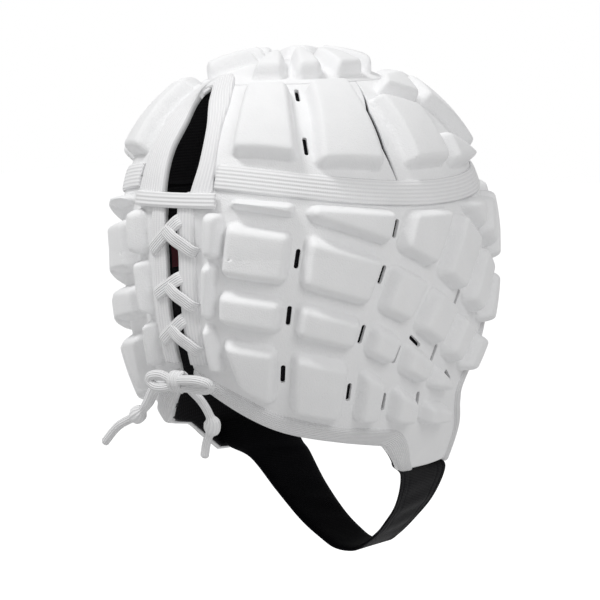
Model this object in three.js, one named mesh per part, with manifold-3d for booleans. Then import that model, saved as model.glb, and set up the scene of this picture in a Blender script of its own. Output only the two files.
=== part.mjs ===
import * as THREE from 'three';
import { mergeVertices } from 'three/addons/utils/BufferGeometryUtils.js';
import Module from 'manifold-3d';

const wasm = await Module();
wasm.setup();

// A padded scrum cap: moulded foam panels on a black lining, joined under a head
// band, laced at the back and held by a chin strap. Millimetres, +Z up, wearer
// facing -Y. The origin is the inside of the crown's top, where the head touches.
// A place on the cap is a turn, in degrees from the back of the head towards the
// wearer's right, and a level, in degrees down from the crown's top. Past level 90
// the skirt hangs straight down and draws in. A height is measured off the head.

// Head form
const halfWidth = 81;
const backDepth = 98;
const frontDepth = 102;
const crownHeight = 88;
const skirtDrop = 120;
const crownShift = 9;
const boxiness = 2.15;
const eggShape = 0.03;
const sideTaper = 0.35;
const backTaper = 0.56;
const frontTaper = 0.11;
const taperPower = 2.6;

// Layers, from the head outwards
const clearance = 0.3;
const liningThickness = 1.2;
const webThickness = 2;
const padHeight = 8;
const tapeThickness = 1.1;
const laceThickness = 1.2;
const strapThickness = 2.4;
const patchThickness = 0.6;

// Pads and channels
const channelWidth = 6;
const shoulderRun = 2.8;
const padCorner = 5;
const padSink = 1.35;
const longEdge = 18;
const shortEdge = 0.12;
const tapeStep = 9;
const tapeLift = 0.55;
const ventLength = 9;
const ventWidth = 2;

// Trims
const bandWidth = 12;
const bandSeam = 2;
const barWidth = 7;
const laceTapeWidth = 9;
const faceBindingWidth = 2.6;
const laceWidth = 5;
const strapChinWidth = 31;
const strapTuck = 1.6;
const strapColumns = 4;
const tailDiameter = 4.5;
const tailKnot = 4.2;
const bowKnot = { foot: 6, top: 4.5, height: 9.5 };

// Head band's middle line, degrees: its mean level, and how it lifts at the back and
// dips over each ear
const bandLevel = 70;
const bandLift = 1.8;
const bandDip = 3.4;

// Pattern lean: the crown's pads lean to the wearer's left towards the slit's top
const patternLean = 5;
const leanStartLevel = 62;
const leanSpan = 30;
const leanFadeTurn = 60;

const liningOuter = liningThickness;
const webInner = liningOuter + clearance;
const webOuter = webInner + webThickness;
const padTop = webOuter + padHeight;
const tapeInner = webOuter + tapeLift;
const tapeOuter = tapeInner + tapeThickness;
const laceInner = tapeOuter + clearance;
const laceOuter = laceInner + laceThickness;
const laceTop = laceInner + clearance;

// Channels of the side panel: each upright channel runs down through the crossings
// with the row channels. The rows are the band's lower edge, an upper diagonal, three
// rows, the binding's upper edge and the rim.
const rowNames = ['top', 'upper', 'first', 'second', 'third', 'binding', 'rim'];
const uprights = {
  slit: [[3, 71], [3, 71], [3, 80], [3, 99], [3, 115], [3, 130], [4, 137.5]],
  A: [[21, 70], [21, 70], [18.7, 76.5], [15.2, 98.5], [13.7, 115.3], [17.5, 138], [19, 149]],
  B: [[43.8, 72], [43.8, 72], [42.6, 80.5], [39.2, 102.7], [36.6, 120], [32, 147], [32.5, 155.5]],
  C: [[76, 76], [76, 76], [69.8, 91], [62.5, 112], [57.9, 127.4], [53.5, 153], [54, 160.3]],
  D: [[99.5, 77], [99.5, 77], [85.5, 101], [75.5, 120], [70, 135], [67.5, 154.5], [70, 163]],
  E: [[119, 76.5], [112, 89], [98.3, 112], [88.8, 130.3], [84, 143.6], [84.5, 158], [84, 174.3]],
  F: [[131, 75.5], [124, 101], [109, 122], [98.5, 138.6], [102, 149], [103, 160], [104, 175.5]],
  face: [[143, 75], [137, 105], [123, 127], [110, 143], [110, 151], [117, 162], [121, 176]],
};
const uprightNames = Object.keys(uprights);
const brow = [[158, 100], [180, 98]];

// Cells of the side panel that hold a pad: the upright on the slit's side, and the
// rows above them
const sidePads = [
  { column: 'A', rows: ['upper', 'first', 'second', 'third'] },
  { column: 'B', rows: ['upper', 'first', 'second', 'third'] },
  { column: 'C', rows: ['upper', 'first', 'second', 'third'] },
  { column: 'D', rows: ['upper', 'first', 'second', 'third'] },
  { column: 'E', rows: ['top', 'upper', 'first', 'second', 'third'] },
  { column: 'F', rows: ['top', 'upper', 'first'] },
];

// Pads given by their corners: upper and lower, on the slit's side and on the face's
// side, as turn and level
const wedgePad = { corners: [[103, 78], [117.5, 77], [112.5, 88], [111, 88]] };
const lacePads = [
  { corners: [[12.5, 76], [19.5, 76], [18, 90.5], [12, 90.5]] },
  { corners: [[11.4, 92], [16.5, 92], [14.4, 112], [10.4, 112]] },
  { corners: [[10.2, 114], [14.2, 114], [16, 131], [10.6, 131]] },
];
const crownBackPads = [
  { corners: [[21, 33.5], [43.5, 33.5], [44, 61.5], [20.8, 59.5]] },
  { corners: [[50, 33], [74, 32.5], [72.5, 65.5], [49, 63.5]] },
];
const crownFrontPads = [
  { corners: [[81, 39], [103, 45.5], [101.5, 66], [82, 65.5]] },
  { corners: [[105.5, 54.5], [130, 66], [122, 67.5], [104, 67]] },
  { corners: [[98, 32], [130, 32], [110, 45], [89, 38]] },
  { corners: [[117, 43.5], [146, 34], [146, 64], [133, 64]] },
  { corners: [[149, 34], [178, 33], [178, 62.5], [149, 63.5]] },
];
const crownTopPads = [
  { corners: [[16, 9], [40, 13], [42, 27.5], [19, 27.5]] },
  { corners: [[42, 7], [76, 9], [66, 27], [46, 27.5]] },
  { corners: [[86, 8], [116, 13], [101, 27.5], [73, 27.5]] },
  { corners: [[128, 9], [172, 9], [176, 27.5], [112, 27.5]] },
];
const foreheadPads = [
  { corners: [[146, 75], [161, 74], [160, 95], [143, 98]] },
  { corners: [[164, 73.5], [178.5, 73], [178.5, 93], [163, 94.5]] },
];

// Vents, cut through a panel: on an upright at a level, or turned to lie
// along a row
const ventsOnUprights = [
  { upright: 'B', levels: [90.7, 111, 132.3] },
  { upright: 'C', levels: [83.2, 98.3, 119.3, 140.4] },
  { upright: 'D', levels: [128, 145.5] },
  { upright: 'E', levels: [110.9, 130, 147] },
];
const slantedVents = [
  { turn: 79.8, level: 124.2, towards: [86, 130] },
  { turn: 98.4, level: 140, towards: [102.5, 144.6] },
];
const crownVents = [
  { turn: 46.8, level: 36, towards: [46.9, 46] },
  { turn: 47, level: 56, towards: [47, 66] },
];

// The slit's arch of tape above the bar: its inner and outer edges, as turn and level,
// from the right foot over the top to the left foot
const slitArch = [
  { inner: [7, 71.3], outer: [15.5, 71.3] },
  { inner: [9, 60], outer: [15, 61] },
  { inner: [6.8, 48], outer: [14, 49] },
  { inner: [-1, 37.5], outer: [12, 38] },
  { inner: [-7, 32.5], outer: [4, 28] },
  { inner: [-10, 31.3], outer: [-9, 23.5] },
  { inner: [-13.5, 33], outer: [-18.5, 27] },
  { inner: [-10, 39], outer: [-21, 40] },
  { inner: [-6, 47], outer: [-19.5, 51] },
  { inner: [-6, 58], outer: [-18.5, 61] },
  { inner: [-4.5, 71.3], outer: [-18.5, 71.3] },
];
const barLevel = 72.8;
const barEnd = 17;
const bandEnd = { right: 16.2, left: 19.8 };
const laceTape = { edge: 2.6, top: 73, bottom: 129 };

// Crown panels: their rows run round the crown at these levels down to the band's
// middle. The slit's edges and the dart give a turn on each row, other lines keep one.
const crownLevels = [30, 44, 58];
const topLevels = [0, 14, 30];
const slitEdge = { right: [-11, 8.5, 11.5, 10.5], left: [-11, -17, -13, -11] };
const dartTurns = [86.5, 77.5, 75.8, 77.5];
const dartGap = 1.2;
const backLines = [20, 33.5, 47, 61];
const frontLines = [92, 106, 120, 135, 150, 165];

// Neck binding: its upper edge and the rim it covers, from the slit to the flap
const neckBinding = [
  { inner: [3.4, 131], outer: [4, 137.3] },
  { inner: [17.7, 139.6], outer: [19, 148.8] },
  { inner: [32.1, 148], outer: [32.5, 155.3] },
  { inner: [53.6, 153.8], outer: [54, 160.1] },
  { inner: [67.8, 155.8], outer: [70, 162.8] },
  { inner: [80, 159.5], outer: [76.8, 168.3] },
  { inner: [94, 174.7], outer: [84.3, 174.1] },
];

// Lace strands over the slit in pairs, as turn and level of both ends: the second of a
// pair crosses over the first
const lacePairs = [
  { name: 'lace_upper_cross', under: [[-9.6, 89], [4.5, 78]], over: [[-2.5, 81], [9.6, 88.6]] },
  { name: 'lace_middle_cross', under: [[-8.4, 105], [4, 97]], over: [[-2.5, 100], [8.4, 108.5]] },
  { name: 'lace_lower_cross', under: [[-8.2, 121.8], [4, 112]], over: [[-3, 115], [8.2, 124.5]] },
];
const bow = { turn: 0, level: 133, height: 14, reach: 21, thickness: 3.6 };
const bowLoop = [[0.1, 0.12], [0.5, 0.32], [0.85, 0.28], [1, 0.02], [0.85, -0.22], [0.5, -0.2], [0.1, -0.12]];
const bowHole = [[0.38, 0.06], [0.55, -0.07], [0.75, -0.08], [0.84, 0.02], [0.78, 0.13], [0.55, 0.17]];

// Routes of the lace's free ends, hand-placed points at the cord's middle, and which
// point carries the knot
const tails = [
  {
    name: 'lace_tail_left',
    knotAt: 4,
    route: [
      [5.2, 88.7, -151.2], [13, 88.3, -153.3], [20, 87, -155], [27, 85, -163],
      [36, 83, -170], [50, 82.5, -177], [61, 82, -187],
    ],
  },
  {
    name: 'lace_tail_right',
    knotAt: 3,
    route: [
      [-4, 88.5, -152.9], [-9.5, 86.5, -158.5], [-12.3, 84, -165],
      [-12.7, 82, -171.5], [-8, 81, -180], [-5.5, 80.5, -188.5],
    ],
  },
];

// Chin strap from flap to chin: shares of the flap's half spacing, of the drop to the
// chin and of the narrowing to the chin's width
const strapStations = [
  { across: 0.91, drop: 0.16, narrowing: 0.65 },
  { across: 0.73, drop: 0.47, narrowing: 0.92 },
  { across: 0.49, drop: 0.74, narrowing: 0.97 },
  { across: 0.28, drop: 0.9, narrowing: 1 },
  { across: 0.11, drop: 0.985, narrowing: 1 },
];
const chinFront = -65;
const chinLevel = -256;
const strapEnd = { rear: [[86, 166], [86, 174.4]], front: [[118, 167.5], [120, 175.8]] };
const innerPatch = { from: [-78, 92], to: [-100, 103], height: -3.4 };

const white = new THREE.Color(0.93, 0.93, 0.93);
const materials = {
  foam: new THREE.MeshStandardMaterial({ color: white, roughness: 0.75, metalness: 0 }),
  tape: new THREE.MeshStandardMaterial({ color: 0xe4e4e6, roughness: 0.85, metalness: 0 }),
  lace: new THREE.MeshStandardMaterial({ color: 0xdcdcde, roughness: 0.9, metalness: 0 }),
  lining: new THREE.MeshStandardMaterial({ color: 0x08070c, roughness: 0.8, metalness: 0 }),
  strap: new THREE.MeshStandardMaterial({ color: 0x16161c, roughness: 0.7, metalness: 0 }),
  patch: new THREE.MeshStandardMaterial({ color: 0x600d1f, roughness: 0.8, metalness: 0 }),
};

const lerp = THREE.MathUtils.lerp;
const mix = (a, b, share) => [lerp(a[0], b[0], share), lerp(a[1], b[1], share)];
const mirrored = ([turn, level]) => [-turn, level];

// The head form's surface
function formPoint(turn, level) {
  const angle = THREE.MathUtils.degToRad(turn);
  const dome = THREE.MathUtils.degToRad(Math.min(level, 90));
  const skirt = Math.max(level - 90, 0) / 90;
  const sine = Math.abs(Math.sin(dome));
  const cosine = Math.abs(Math.cos(dome));
  const reach = (sine ** boxiness + cosine ** boxiness) ** (-1 / boxiness);
  const taper = skirt ** taperPower;
  const width = halfWidth * (1 - sideTaper * taper) * (1 + eggShape * Math.cos(angle));
  const back = backDepth * (1 - backTaper * taper);
  const front = frontDepth * (1 - frontTaper * taper);
  const depth = Math.cos(angle) > 0 ? back : front;
  const fall = 1 - (level < 90 ? reach * cosine : 0);
  return new THREE.Vector3(
    -width * reach * sine * Math.sin(angle),
    depth * reach * sine * Math.cos(angle) - crownShift * fall,
    -crownHeight * fall - skirtDrop * skirt,
  );
}

function formNormal(turn, level) {
  const step = 0.2;
  const place = Math.max(level, 2 * step);
  const along = formPoint(turn + step, place).sub(formPoint(turn - step, place));
  const down = formPoint(turn, place + step).sub(formPoint(turn, place - step));
  return level < step ? new THREE.Vector3(0, 0, 1) : down.cross(along).normalize();
}

function capPoint([turn, level], height) {
  return formPoint(turn, level).addScaledVector(formNormal(turn, level), height);
}

function bandMiddle(turn) {
  const angle = THREE.MathUtils.degToRad(turn);
  return bandLevel - bandLift * Math.cos(angle) - bandDip * Math.cos(2 * angle);
}

// A length along the cap's surface at a place, as degrees of turn and of level
function degreesAt([turn, level], length) {
  const here = formPoint(turn, level);
  const perTurn = formPoint(turn + 1, level).distanceTo(here);
  const perLevel = formPoint(turn, level + 1).distanceTo(here);
  return [length / perTurn, length / perLevel];
}

function leaned([turn, level]) {
  const rise = Math.max(leanStartLevel - level, 0) / leanSpan;
  const fade = Math.max(1 - Math.abs(turn) / leanFadeTurn, 0);
  return [turn - patternLean * rise * fade, level];
}

// Closed geometry from corners and faces: shared corners are welded, and faces that
// have no area or meet back to back are dropped
function closedGeometry(corners, faces) {
  const loose = new THREE.BufferGeometry();
  loose.setAttribute('position', new THREE.Float32BufferAttribute(corners.flatMap((p) => p.toArray()), 3));
  loose.setIndex(faces.flat());
  const welded = mergeVertices(loose, 1e-3);
  const index = welded.getIndex().array;
  const kept = new Map();
  for (let k = 0; k < index.length; k += 3) {
    const face = [index[k], index[k + 1], index[k + 2]];
    if (new Set(face).size < 3) continue;
    const key = [...face].sort((a, b) => a - b).join();
    if (kept.has(key)) kept.delete(key);
    else kept.set(key, face);
  }
  welded.setIndex([...kept.values()].flat());
  return welded;
}

function solidOf(geometry) {
  const plain = geometry.clone();
  plain.deleteAttribute('normal');
  plain.deleteAttribute('uv');
  const welded = mergeVertices(plain, 1e-4);
  const vertProperties = new Float32Array(welded.getAttribute('position').array);
  const triVerts = new Uint32Array(welded.getIndex().array);
  return new wasm.Manifold(new wasm.Mesh({ numProp: 3, vertProperties, triVerts }));
}

// A solid's geometry, with edges too short to matter drawn together
function geometryOf(solid) {
  const { vertProperties, triVerts } = solid.getMesh();
  const count = vertProperties.length / 3;
  const corners = Array.from({ length: count }, (_, k) => (
    new THREE.Vector3(...vertProperties.slice(3 * k, 3 * k + 3))));
  const stand = corners.map((_, k) => k);
  const standOf = (k) => (stand[k] === k ? k : standOf(stand[k]));
  for (let k = 0; k < triVerts.length; k += 1) {
    const next = k % 3 === 2 ? k - 2 : k + 1;
    const [a, b] = [standOf(triVerts[k]), standOf(triVerts[next])];
    if (a !== b && corners[a].distanceTo(corners[b]) < shortEdge) stand[Math.max(a, b)] = Math.min(a, b);
  }
  const faces = Array.from({ length: triVerts.length / 3 }, (_, k) => (
    [0, 1, 2].map((j) => standOf(triVerts[3 * k + j]))));
  return closedGeometry(corners, faces.filter((face) => new Set(face).size === 3));
}

const joined = (solids) => solids.reduce((whole, piece) => whole.add(piece));
const cutBy = (solid, cutters) => cutters.reduce((rest, cutter) => rest.subtract(cutter), solid);

// Places of a pad's outline in its cell: drawn in from the cell's edges by a length,
// with cut corners
function padOutline(corners, inset) {
  const [upperA, upperB, lowerB, lowerA] = corners;
  const length = (a, b) => capPoint(a, webOuter).distanceTo(capPoint(b, webOuter));
  const across = Math.max((length(upperA, upperB) + length(lowerA, lowerB)) / 2, 1);
  const down = Math.max((length(upperA, lowerA) + length(upperB, lowerB)) / 2, 1);
  const [edgeS, edgeT] = [Math.min(inset / across, 0.35), Math.min(inset / down, 0.35)];
  const [cutS, cutT] = [Math.min(padCorner / across, 0.3), Math.min(padCorner / down, 0.3)];
  const outline = [
    [edgeS, edgeT + cutT], [edgeS + cutS, edgeT], [1 - edgeS - cutS, edgeT], [1 - edgeS, edgeT + cutT],
    [1 - edgeS, 1 - edgeT - cutT], [1 - edgeS - cutS, 1 - edgeT],
    [edgeS + cutS, 1 - edgeT], [edgeS, 1 - edgeT - cutT],
  ];
  return outline.map(([s, t]) => mix(mix(upperA, upperB, s), mix(lowerA, lowerB, s), t));
}

// Walls along the edges that no neighbouring cell shares
function rimFaces(edges) {
  const open = new Map();
  for (const { from, to, wall } of edges) {
    if (from === to) continue;
    if (open.has(`${to} ${from}`)) open.delete(`${to} ${from}`);
    else open.set(`${from} ${to}`, wall);
  }
  return [...open.values()].flatMap(([a, b, c, d]) => [[a, b, c], [a, c, d]]);
}

const pointKey = (point) => point.toArray().map((value) => Math.round(value * 1000)).join();

const middleOf = (places) => [0, 1].map((k) => (
  places.reduce((sum, place) => sum + place[k], 0) / places.length));

// A panel quilted from cells: each has four corner places, clockwise from outside, and
// may carry a pad. Its edges get a middle place, so that neighbours share them.
function quilt(cells, inner, outer) {
  const points = [];
  const faces = [];
  const edges = [];
  const add = (place, height) => points.push(capPoint(place, height)) - 1;
  for (const { corners, pad: isPad } of cells) {
    const border = corners.flatMap((place, k) => [place, mix(place, corners[(k + 1) % 4], 0.5)]);
    const count = border.length;
    const [outside, inside] = [outer, inner].map((height) => border.map((place) => add(place, height)));
    const innerMiddle = add(middleOf(corners), inner);
    const topMiddle = add(middleOf(corners), isPad ? padTop : outer);
    const [base, top] = isPad
      ? [[channelWidth / 2, outer], [channelWidth / 2 + shoulderRun, padTop]].map(([inset, height]) => (
        padOutline(corners, inset).map((place) => add(place, height))))
      : [outside, outside];
    for (let k = 0; k < count; k += 1) {
      const next = (k + 1) % count;
      faces.push([inside[k], inside[next], innerMiddle], [top[next], top[k], topMiddle]);
      if (isPad) {
        faces.push([base[next], base[k], top[k]], [base[next], top[k], top[next]]);
        const toBase = k % 2 === 0;
        const [corner, other] = toBase ? [base[next], outside[k]] : [outside[next], base[k]];
        faces.push([outside[k], base[k], corner], [other, base[next], outside[next]]);
      }
      const [from, to] = [outside[k], outside[next]].map((corner) => pointKey(points[corner]));
      edges.push({ from, to, wall: [outside[k], outside[next], inside[next], inside[k]] });
    }
  }
  return closedGeometry(points, [...faces, ...rimFaces(edges)]);
}

// A plain panel of flat-faced cells, each four corner places clockwise from outside
function plate(cells, inner, outer) {
  const points = [];
  const faces = [];
  const edges = [];
  for (const { corners } of cells) {
    const [top, base] = [outer, inner].map((height) => (
      corners.map((place) => points.push(capPoint(place, height)) - 1)));
    faces.push([top[2], top[1], top[0]], [top[3], top[2], top[0]]);
    faces.push([base[0], base[1], base[2]], [base[0], base[2], base[3]]);
    for (let k = 0; k < 4; k += 1) {
      const next = (k + 1) % 4;
      const [from, to] = [top[k], top[next]].map((corner) => pointKey(points[corner]));
      edges.push({ from, to, wall: [top[k], top[next], base[next], base[k]] });
    }
  }
  return closedGeometry(points, [...faces, ...rimFaces(edges)]);
}

// A sheet between two grids of points, facing away from the inner one
function sheet(outer, inner) {
  const along = outer[0][1].clone().sub(outer[0][0]);
  const down = outer[1][0].clone().sub(outer[0][0]);
  const isBackward = down.cross(along).dot(outer[0][0].clone().sub(inner[0][0])) < 0;
  const grids = [outer, inner].map((grid) => grid.map((row) => (isBackward ? [...row].reverse() : row)));
  const [rows, columns] = [outer.length, outer[0].length];
  const at = (row, column, layer) => (layer * rows + row) * columns + column;
  const faces = [];
  const quad = (a, b, c, d) => faces.push([a, b, c], [a, c, d]);
  const last = { row: rows - 1, column: columns - 1 };
  for (let r = 0; r < rows; r += 1) {
    for (let c = 0; c < columns; c += 1) {
      if (r < last.row && c < last.column) {
        quad(at(r, c, 0), at(r + 1, c, 0), at(r + 1, c + 1, 0), at(r, c + 1, 0));
        quad(at(r, c, 1), at(r, c + 1, 1), at(r + 1, c + 1, 1), at(r + 1, c, 1));
      }
      if (r === 0 && c < last.column) quad(at(0, c, 0), at(0, c + 1, 0), at(0, c + 1, 1), at(0, c, 1));
      if (r === last.row && c < last.column) quad(at(r, c, 1), at(r, c + 1, 1), at(r, c + 1, 0), at(r, c, 0));
      if (c === 0 && r < last.row) quad(at(r, 0, 1), at(r + 1, 0, 1), at(r + 1, 0, 0), at(r, 0, 0));
      if (c === last.column && r < last.row) quad(at(r, c, 0), at(r + 1, c, 0), at(r + 1, c, 1), at(r, c, 1));
    }
  }
  return closedGeometry(grids.flat(2), faces);
}

// A loose pad on a web, over four corner places
function pad(corners) {
  const foot = padOutline(corners, 0);
  const isLong = foot.map((place, k) => (
    capPoint(place, 0).distanceTo(capPoint(foot[(k + 1) % foot.length], 0)) > longEdge));
  const outlines = [[0, webOuter - padSink], [shoulderRun, padTop]].map(([inset, height]) => (
    padOutline(corners, inset).flatMap((place, k, outline) => (
      isLong[k] ? [place, mix(place, outline[(k + 1) % outline.length], 0.5)] : [place]))
      .map((place) => capPoint(place, height))));
  const count = outlines[0].length;
  const middle = middleOf(corners);
  const points = [...outlines.flat(), capPoint(middle, webOuter - padSink), capPoint(middle, padTop)];
  const faces = [];
  for (let k = 0; k < count; k += 1) {
    const next = (k + 1) % count;
    faces.push([next, k, count + k], [next, count + k, count + next]);
    faces.push([k, next, 2 * count], [count + next, count + k, 2 * count + 1]);
  }
  return solidOf(closedGeometry(points, faces));
}

// A vent's cutter: a flat block that reaches past both faces of the panel, laid from
// its middle towards another place
function ventCutter(place, towards) {
  const centre = capPoint(place, 0);
  const up = formNormal(...place);
  const along = capPoint(towards, 0).sub(centre);
  along.addScaledVector(up, -along.dot(up)).normalize();
  const across = up.clone().cross(along);
  const [long, wide] = [ventLength / 2, ventWidth / 2];
  const outline = [[long, wide], [long, -wide], [-long, -wide], [-long, wide]];
  const reach = [-liningThickness, webOuter + 2];
  const points = reach.flatMap((height) => outline.map(([a, b]) => centre.clone()
    .addScaledVector(up, height).addScaledVector(along, a).addScaledVector(across, b)));
  const count = outline.length;
  const faces = [];
  for (let k = 0; k < count; k += 1) {
    const next = (k + 1) % count;
    faces.push([k, k + count, next + count], [k, next + count, next]);
  }
  for (let k = 1; k + 1 < count; k += 1) {
    faces.push([0, k, k + 1], [count, count + k + 1, count + k]);
  }
  return solidOf(closedGeometry(points, faces));
}

function onUpright(name, level) {
  const places = uprights[name];
  const below = places.findIndex((place) => place[1] > level);
  const [upper, lower] = [places[below - 1], places[below]];
  return mix(upper, lower, (level - upper[1]) / (lower[1] - upper[1]));
}

function sideVents() {
  const upright = ventsOnUprights.flatMap(({ upright: name, levels }) => levels.map((level) => (
    ventCutter(mirrored(onUpright(name, level)), mirrored(onUpright(name, level + 3)))
  )));
  const slanted = slantedVents.map(({ turn, level, towards }) => (
    ventCutter(mirrored([turn, level]), mirrored(towards))));
  return [...upright, ...slanted];
}

const crownVentCutters = (flip) => crownVents.map(({ turn, level, towards }) => (
  ventCutter(leaned(flip([turn, level])), leaned(flip(towards)))
));

// Corners stay clockwise when they are flipped to the wearer's left
function flipped(corners, flip) {
  const places = corners.map(flip);
  const isMirrored = flip([1, 0])[0] < 0;
  return isMirrored ? [places[1], places[0], places[3], places[2]] : places;
}

// Cells between neighbouring lines of places, with a pad where the test says so
function cellsBetween(lines, flip, hasPad) {
  return lines.slice(1).flatMap((line, c) => line.slice(1).map((_, r) => ({
    corners: flipped([lines[c][r], lines[c + 1][r], lines[c + 1][r + 1], lines[c][r + 1]], flip),
    pad: hasPad(c, r),
  })));
}

const [seamTurn, seamDrop] = degreesAt([0, bandLevel], clearance / 2);
const bandSeamDrop = degreesAt([0, bandLevel], bandSeam / 2)[1];
const same = (place) => place;
const paddedPanel = (web, pads, vents) => geometryOf(cutBy(joined([solidOf(web), ...pads]), vents));

function sideLines(shift) {
  return uprightNames.map((name) => {
    const turn = uprights[name][0][0];
    const places = [[turn, bandMiddle(turn) + bandSeamDrop], ...uprights[name]];
    return places.map((place) => [place[0] + (name === 'face' ? shift : 0), place[1]]);
  });
}

// Side panel on the wearer's left: its web from the slit to the face, and its pads
function sidePanelSolid() {
  const hasPad = (c, r) => sidePads.some(({ column, rows }) => (
    uprightNames[c] === column && rows.includes(rowNames[r - 1])));
  const web = quilt(cellsBetween(sideLines(-seamTurn), mirrored, hasPad), webInner, webOuter);
  const pads = [...lacePads, wedgePad].map(({ corners }) => pad(flipped(corners, mirrored)));
  return cutBy(joined([solidOf(web), ...pads]), sideVents());
}

// Lines of the forehead's panel from the right temple to the left, down to the brow
function foreheadLines(shift, rowsBetween) {
  const [, temple, corner] = sideLines(shift)[uprightNames.indexOf('face')];
  const right = [[temple, corner], ...brow.map(([turn, level]) => [[turn, temple[1]], [turn, level]])]
    .map(([upper, lower]) => {
      const steps = Array.from({ length: rowsBetween + 1 }, (_, k) => (
        mix(upper, lower, (k + 1) / (rowsBetween + 1))));
      return [[upper[0], bandMiddle(upper[0]) + bandSeamDrop], upper, ...steps];
    });
  const left = right.slice(0, -1).reverse().map((line) => line.map(([turn, level]) => [360 - turn, level]));
  return [...right, ...left];
}

function foreheadPanel() {
  const cells = cellsBetween(splitLines(foreheadLines(seamTurn, 1)), same, () => false);
  return paddedPanel(plate(cells, webInner, webOuter), bothSides(foreheadPads, same), []);
}

// Lines with another line midway between each two
function splitLines(lines) {
  return lines.flatMap((line, k) => (k === 0 ? [line] : [
    line.map((place, row) => mix(lines[k - 1][row], place, 0.5)), line]));
}

// Pads from a table on both sides of the crown or the forehead
function bothSides(table, place) {
  return [same, mirrored].flatMap((flip) => table.map(({ corners }) => (
    pad(flipped(corners, flip).map(place)))));
}

// A line of places down the crown from its top seam to the band
function crownLine(turns, shift) {
  return turns.map((turn, row) => {
    const level = row < crownLevels.length ? crownLevels[row] : bandMiddle(turn) - bandSeamDrop;
    return [turn + degreesAt([turn, level], shift)[0], level + (row === 0 ? seamDrop : 0)];
  });
}

const steady = (turn) => crownLine(Array(dartTurns.length).fill(turn), 0);
const mirroredLine = (line) => line.map(mirrored);
const roundTheFront = (line) => line.map(([turn, level]) => [360 + turn, level]);

function crownBackLines(side, gap) {
  const isRight = side === 'right';
  const slit = crownLine(slitEdge[side], isRight ? gap : -gap);
  const rest = [...backLines.map(steady), crownLine(dartTurns, -dartGap / 2)];
  return isRight ? [slit, ...rest] : [...rest.map(mirroredLine).reverse(), slit];
}

function crownFrontLines() {
  const right = [crownLine(dartTurns, dartGap / 2), ...frontLines.map(steady)];
  return [...right, steady(180), ...right.map(mirroredLine).map(roundTheFront).reverse()];
}

function crownBackPanel(side) {
  const flip = side === 'right' ? same : mirrored;
  const web = plate(cellsBetween(crownBackLines(side, clearance / 2), same, () => false), webInner, webOuter);
  const pads = crownBackPads.map(({ corners }) => pad(flipped(corners, flip).map(leaned)));
  return paddedPanel(web, pads, crownVentCutters(flip));
}

function crownFrontPanel() {
  const web = plate(cellsBetween(crownFrontLines(), same, () => false), webInner, webOuter);
  return paddedPanel(web, bothSides(crownFrontPads, leaned), []);
}

// Lines from the crown's very top down to its top seam, all the way round
function topLines(rim) {
  const turns = [...crownBackLines('right', 0), ...crownFrontLines().slice(1, -1)]
    .map((line) => line[0][0]);
  const left = crownBackLines('left', 0).map((line) => line[0][0] + 360);
  return [...turns, ...left].map((turn) => topLevels.map((level, row) => [
    turn, level - (row === topLevels.length - 1 ? rim : 0)]));
}

function crownTopPanel() {
  const web = plate(cellsBetween(topLines(seamDrop), same, () => false), webInner, webOuter);
  return paddedPanel(web, bothSides(crownTopPads, leaned), []);
}

function crownLining() {
  const top = topLines(0);
  const rest = [...crownBackLines('right', 0), ...crownFrontLines().slice(1, -1),
    ...crownBackLines('left', 0).map(roundTheFront)];
  const lines = top.map((line, k) => [...line, ...rest[k].slice(1)]);
  return plate(cellsBetween(lines, same, () => false), 0, liningOuter);
}

function sideLining() {
  const cells = [
    ...cellsBetween(sideLines(0), same, () => false),
    ...cellsBetween(sideLines(0), mirrored, () => false),
    ...cellsBetween(foreheadLines(0, 0), same, () => false),
  ];
  return plate(cells, 0, liningOuter);
}

// A strip of tape over lists of places that run along it side by side
function strip(lines, inner, outer) {
  const grids = [outer, inner].map((height) => (
    lines.map((line) => line.map((place) => capPoint(place, height)))));
  return sheet(...grids);
}

// Places from one to another in steps no longer than a tape's
function run(from, to) {
  const span = Math.max(Math.abs(to[0] - from[0]), Math.abs(to[1] - from[1]));
  const steps = Math.ceil(span / tapeStep);
  return Array.from({ length: steps }, (_, k) => mix(from, to, k / steps));
}

const trail = (places) => (
  [...places.slice(1).flatMap((place, k) => run(places[k], place)), places[places.length - 1]]);

// Places a length to one side of a trail
function beside(places, length) {
  return places.map((place, k) => {
    const before = places[Math.max(k - 1, 0)];
    const after = places[Math.min(k + 1, places.length - 1)];
    const [perTurn, perLevel] = degreesAt(place, 1);
    const [across, down] = [(after[0] - before[0]) / perTurn, (after[1] - before[1]) / perLevel];
    const share = length / Math.hypot(across, down);
    return [place[0] - down * share * perTurn, place[1] + across * share * perLevel];
  });
}

const tapeAlong = (places, width, inner, outer) => (
  strip([-width / 2, width / 2].map((length) => beside(places, length)), inner, outer));

function headBand() {
  const places = run([bandEnd.right, 0], [360 - bandEnd.left, 0])
    .concat([[360 - bandEnd.left, 0]]).map(([turn]) => [turn, bandMiddle(turn)]);
  return tapeAlong(places, bandWidth, tapeInner, tapeOuter);
}

// A tape between the edges that a table gives, with places midway between its rows
// and lines of places at the given shares of its width
function tapeOf(table, shares, flip) {
  const edges = ['inner', 'outer'].map((edge) => table.flatMap((row, k) => (
    k === 0 ? [row[edge]] : [mix(table[k - 1][edge], row[edge], 0.5), row[edge]])));
  const lines = shares.map((share) => edges[0].map((place, k) => flip(mix(place, edges[1][k], share))));
  return strip(lines, tapeInner, tapeOuter);
}

const slitBar = () => (
  tapeAlong(trail([[-barEnd, barLevel], [barEnd, barLevel]]), barWidth, laceInner, laceOuter));

function laceTapePiece(flip) {
  const edge = trail([[laceTape.edge, laceTape.top], [laceTape.edge, laceTape.bottom]]).map(flip);
  const side = flip([1, 0])[0];
  return strip([edge, beside(edge, -side * laceTapeWidth)], tapeInner, tapeOuter);
}

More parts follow.
